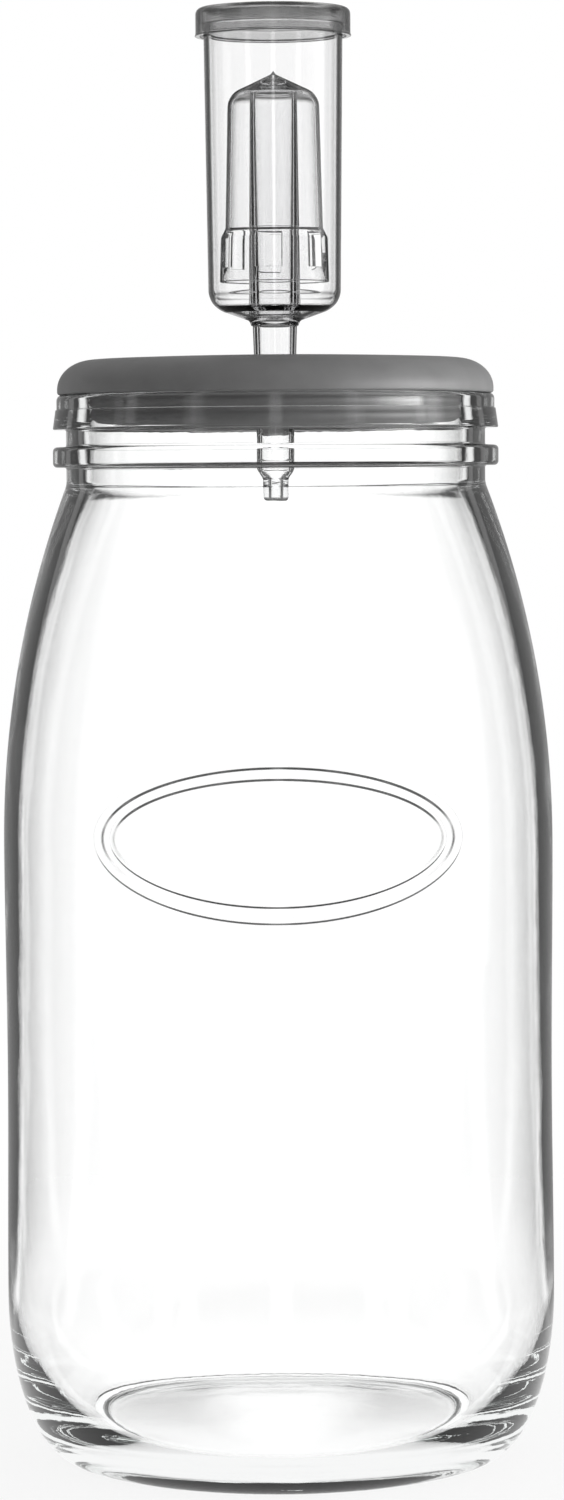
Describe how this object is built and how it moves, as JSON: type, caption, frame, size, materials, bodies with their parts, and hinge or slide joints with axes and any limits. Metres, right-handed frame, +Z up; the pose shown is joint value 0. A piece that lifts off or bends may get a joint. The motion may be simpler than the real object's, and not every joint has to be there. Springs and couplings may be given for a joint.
{
  "type": "fermentation jar with airlock",
  "caption": "Clear glass fermentation jar with a push-in silicone lid and a clear chambered water airlock standing in it.",
  "frame": {"origin": "centre of the jar's base, in the plane it stands on", "axes": "+Z up along the jar's axis, the raised oval border on the front towards -Y"},
  "size_m": [0.1404, 0.141, 0.37],
  "materials": {
    "jar_glass": "clear pressed glass",
    "lid_silicone": "satin grey silicone",
    "airlock_clear": "clear polystyrene",
    "cap_translucent": "translucent polyethylene"
  },
  "bodies": {
    "jar": {"jar": "jar_glass"},
    "lid": {"lid": "lid_silicone"},
    "airlock": {"airlock_body": "airlock_clear"},
    "bell": {"airlock_bell": "airlock_clear"},
    "cap": {"airlock_cap": "cap_translucent"}
  },
  "joints": [
    {"name": "lid_lift", "type": "slide", "parent": "jar", "child": "lid", "axis": [0, 0, 1], "range_m": [0, 0.05]},
    {"name": "airlock_pull", "type": "slide", "parent": "lid", "child": "airlock", "axis": [0, 0, 1], "range_m": [0, 0.045]},
    {"name": "bell_float", "type": "slide", "parent": "airlock", "child": "bell", "axis": [0, 0, 1], "range_m": [0, 0.0142]},
    {"name": "cap_lift", "type": "slide", "parent": "airlock", "child": "cap", "axis": [0, 0, 1], "range_m": [0, 0.025]}
  ]
}
